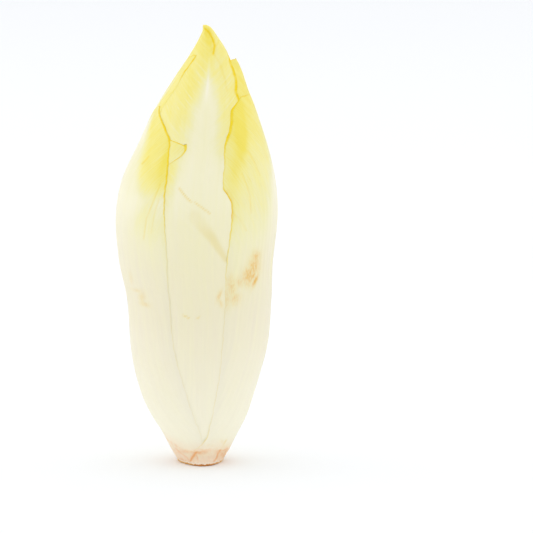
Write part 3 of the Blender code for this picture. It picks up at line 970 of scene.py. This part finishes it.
def leaf_material():
    """Crisp waxy leaf: cream below, yellow blades and tips, side veins, bruises, and gold lines of painted
    shade and glow along the margins.
    """
    s = Shader(bpy.data.materials.new("endive_leaf"))
    skin = s.add("ShaderNodeUVMap", {}, uv_map="skin_uv")
    place = s.add("ShaderNodeTexCoord", {}, output="Object")
    across = s.add("ShaderNodeSeparateXYZ", {0: skin}, output=0)
    up = s.add("ShaderNodeSeparateXYZ", {0: skin}, output=1)

    fibres = s.streaky(skin, 11, 0.35, detail=3, roughness=0.55)
    streaks = s.streaky(skin, 3.2, 0.12)
    mottle = s.noise(place, 90, detail=3, roughness=0.6)
    grain = s.noise(place, 1400, detail=1)
    ragged = s.streaky(skin, 9, 3.5, detail=4, roughness=0.7)

    # Side veins run up and out from the midrib, like a feather, through the yellow blade.
    lean = s.times(s.math("ABSOLUTE", across), s.attribute("vein_lean"))
    feather = s.shifted_by(s.math("SUBTRACT", up, lean), s.noise(skin, 1.1), 0.22)
    along_veins = s.add("ShaderNodeCombineXYZ", {0: s.times(feather, 6.5), 1: across})
    barbs = s.noise(along_veins, 1, detail=3)
    wave = s.math("SINE", s.times(feather, 2 * math.pi / VEIN_SPACING))
    broken = s.range(s.streaky(skin, 2, 2, detail=3), 0.44, 0.7)

    yellow = s.attribute("yellow")
    patchy = s.range(yellow, 0, 0.4, 0.4, 1)
    wander = yellow
    for noise, amount in ((streaks, 0.26), (fibres, 0.16), (mottle, 0.14)):
        wander = s.shifted_by(wander, noise, s.times(patchy, amount))
    wander = s.shifted_by(wander, barbs, s.times(s.range(yellow, 0.1, 0.35), 0.42))
    grooved = s.math("MULTIPLY_ADD", fibres, 0.5, s.times(streaks, 0.5))
    # Whiter towards the foot, partly painted light.
    cream = s.mix(s.shifted_by(s.attribute("pale"), grooved, 0.9), CREAM, PALE_CREAM)
    color = s.ramp(wander, (0.25, STRAW), (0.5, PALE_YELLOW), (0.75, YELLOW), (1, DEEP_YELLOW))
    color = s.mix(s.times(wander, 4, clamp=True), cream, color)

    veins = s.times(s.range(wave, 0.4, 1), broken)
    veins = s.times(veins, s.range(yellow, 0.22, 0.5))
    white_veins = s.times(veins, s.attribute("vein_white"))
    yellow_veins = s.math("SUBTRACT", veins, white_veins)
    color = s.mix(s.times(white_veins, 0.3), color, WHITE_VEIN)
    color = s.mix(s.times(yellow_veins, 0.16), color, GOLD_AND_SEAM_SHADE)

    # Painted shade and glow: a ragged gold line along each margin, where it lies on the leaf beneath.
    marked = s.attribute("seam")
    width = s.math("MULTIPLY_ADD", marked, 0.85, 0.25)
    from_margin = s.shifted_by(s.attribute("from_margin"), ragged, 0.9)
    seam = s.range(from_margin, width, s.times(width, 0.5))
    broken_seam = s.range(s.streaky(skin, 1, 5, detail=3), 0.35, 0.6, 0.75, 1)
    strength = s.range(marked, 0, 0.85)
    seam = s.times(s.times(seam, strength), broken_seam)
    color = s.mix(seam, color, GOLD_AND_SEAM_SHADE)
    color = s.mix(s.times(s.attribute("crease"), broken_seam), color, GOLD_AND_SEAM_SHADE)

    # Painted shade in the press mark's shallow dent.
    color = s.mix(s.times(s.attribute("press_mark"), 0.56), color, PRESS_SHADE_TAN)
    strands = s.streaky(skin, 26, 6, turn=0.45, detail=3)
    worn = s.times(s.range(strands, 0.3, 0.65, 0.55, 1.25), s.range(ragged, 0.25, 0.55, 0.65, 1.1))
    bruise = s.times(s.attribute("bruise"), worn, clamp=True)
    color = s.mix(bruise, color, s.mix(s.range(bruise, 0.15, 0.6), BRUISE_GOLD, BRUISE_TAN))
    scratch = s.times(s.attribute("scratch"), s.range(ragged, 0.25, 0.5, 0.4, 0.9))
    color = s.mix(scratch, color, LINE_BROWN)

    above_scar = s.attribute("above_scar")
    # Near the scar the leaves turn the stump's cream, partly painted light.
    color = s.mix(s.range(s.shifted_by(above_scar, ragged, 3.5), 6, 0, 0, 0.85), color, STUMP_CREAM_AND_PAINTED_LIGHT)
    color = rosy_scar(s, color, place, s.range(s.shifted_by(above_scar, ragged, 2.4), 1.3, 0))

    relief = s.math("MULTIPLY_ADD", veins, 0.5, s.times(fibres, 0.5))
    relief = s.math("MULTIPLY_ADD", grain, 0.12, relief)
    lit_through = s.attribute("lit_through")
    return s.finish(
        {
            "Base Color": color,
            "Roughness": s.range(mottle, 0.2, 0.8, 0.42, 0.58),
            "Normal": s.bump(relief, 0.00012, 0.6),
            "Specular IOR Level": 0.35,
            "Subsurface Radius": GLOW_RADIUS,
            "Subsurface Weight": s.range(lit_through, 0, 1, GLOW_WEIGHT, THROUGH_WEIGHT),
            "Subsurface Scale": s.range(lit_through, 0, 1, GLOW_SCALE, THROUGH_SCALE),
        }
    )


def stem_material():
    """Trimmed root end: pale tan flesh, rose-brown where it dried, with a brown ragged rim; its cream top
    and the rim's gold sides are partly painted light.
    """
    s = Shader(bpy.data.materials.new("cut_stem_flesh"))
    skin = s.add("ShaderNodeUVMap", {}, uv_map="skin_uv")
    place = s.add("ShaderNodeTexCoord", {}, output="Object")
    ragged = s.streaky(skin, 7, 7, detail=5, roughness=0.7)
    streaks = s.streaky(skin, 9, 2, detail=3, roughness=0.6)
    grain = s.noise(place, 1800, detail=2)

    above_scar = s.attribute("above_scar")
    # Cream above the scar line, partly painted light for the floor's bounce.
    color = s.mix(s.range(s.shifted_by(above_scar, ragged, 3), -5, -0.5), STUMP_TAN, STUMP_CREAM_AND_PAINTED_LIGHT)
    color = s.mix(s.range(streaks, 0.42, 0.75, 0, 0.3), color, SCAR_ROSE)
    color = rosy_scar(s, color, place, s.range(s.shifted_by(above_scar, ragged, 2.6), -1.5, 0))
    bruise = s.times(s.attribute("bruise"), s.range(ragged, 0.25, 0.6, 0.3, 1.2), clamp=True)
    color = s.mix(bruise, color, BRUISE_ORANGE)
    scratch = s.times(s.attribute("scratch"), s.range(ragged, 0.25, 0.5, 0.5, 1))
    color = s.mix(scratch, color, SCAR_ORANGE)
    up = s.shifted_by(s.attribute("up"), streaks, 1.6)
    color = s.mix(s.times(s.range(up, 1.7, 1.1), 0.75), color, FLAKE_CREAM)
    # The rim is brown at the front and lighter gold round the sides, partly painted light against the
    # contact shade.
    color = s.mix(s.range(up, 0.95, 0.6), color, s.mix(s.attribute("rim_front"), RIM_GOLD_AND_PAINTED_LIGHT, RIM_BROWN))

    relief = s.math("MULTIPLY_ADD", grain, 0.3, ragged)
    return s.finish(
        {
            "Base Color": color,
            "Roughness": s.range(ragged, 0.2, 0.8, 0.6, 0.8),
            "Normal": s.bump(relief, 0.0004, 0.7),
            "Specular IOR Level": 0.25,
            "Subsurface Radius": GLOW_RADIUS,
            "Subsurface Weight": GLOW_WEIGHT,
            "Subsurface Scale": GLOW_SCALE,
        }
    )


# ---- Floor, light and camera ----

FLOOR_SIZE = 12
# Name, place, point it is turned to, side (metres), power (watts).
LIGHTS = (
    ("overhead", (0, 0.1, 2), (0, 0, 0), 2.6, 10.5),
    ("left_side", (-1.5, 0.3, 0.7), (0, 0, 0.08), 1.2, 2.4),
    ("right_side", (1.5, 0.3, 0.7), (0, 0, 0.08), 1.2, 1.4),
)
SURROUND_FRONT = 0.81  # strength of the white surround on the viewer's side
SURROUND_BACK = 0.9  # and behind the head


def make_floor():
    bm = bmesh.new()
    bmesh.ops.create_grid(bm, x_segments=1, y_segments=1, size=FLOOR_SIZE / 2)
    s = Shader(bpy.data.materials.new("white_floor"))
    white = s.finish({"Base Color": linear(250, 252, 255), "Roughness": 0.9, "Specular IOR Level": 0.1})
    new_piece("floor", bm, white)


def soft_light(name, place, aim, size, power):
    lamp = bpy.data.lights.new(name, "AREA")
    lamp.size = size
    lamp.energy = power
    obj = new_object(name, lamp)
    obj.location = place
    obj.rotation_euler = (Vector(aim) - Vector(place)).to_track_quat("-Z", "Y").to_euler()


def make_world():
    """A white surround, a little dimmer on the viewer's side."""
    world = bpy.data.worlds.new("white_surround")
    s = Shader(world, last="Background")
    direction = s.add("ShaderNodeTexCoord", {}, output="Generated")
    back = s.add("ShaderNodeSeparateXYZ", {0: direction}, output="Y")
    limits = {"From Min": -1, "From Max": 1, "To Min": SURROUND_FRONT, "To Max": SURROUND_BACK}
    strength = s.add("ShaderNodeMapRange", {"Value": back, **limits})
    s.finish({"Color": (1, 1, 1, 1), "Strength": strength})
    bpy.context.scene.world = world


VIEW_WIDTH = 205.2  # mm of the head's plane that the picture takes in
VIEW_MIDDLE = (25.6, 76.2)  # its middle: across and up from the foot of the head
CAMERA_DISTANCE = 2.2
CAMERA_ELEVATION = 10


def make_camera():
    data = bpy.data.cameras.new("camera")
    data.sensor_width = 36
    data.lens = data.sensor_width * CAMERA_DISTANCE / (VIEW_WIDTH * MM)
    data.clip_end = 50
    obj = new_object("camera", data)
    tilt = math.radians(CAMERA_ELEVATION)
    aim = Vector((VIEW_MIDDLE[0] * MM, 0, VIEW_MIDDLE[1] * MM))
    obj.location = aim + CAMERA_DISTANCE * Vector((0, -math.cos(tilt), math.sin(tilt)))
    obj.rotation_euler = (math.pi / 2 - tilt, 0, 0)
    bpy.context.scene.camera = obj


def main():
    leaf = leaf_material()
    for order in range(len(LEAVES)):
        make_leaf(order, leaf)
    make_stem(stem_material())
    make_floor()
    make_world()
    for light in LIGHTS:
        soft_light(*light)
    bpy.context.scene.view_settings.view_transform = "Standard"
    bpy.context.scene.view_settings.look = "None"
    make_camera()


main()
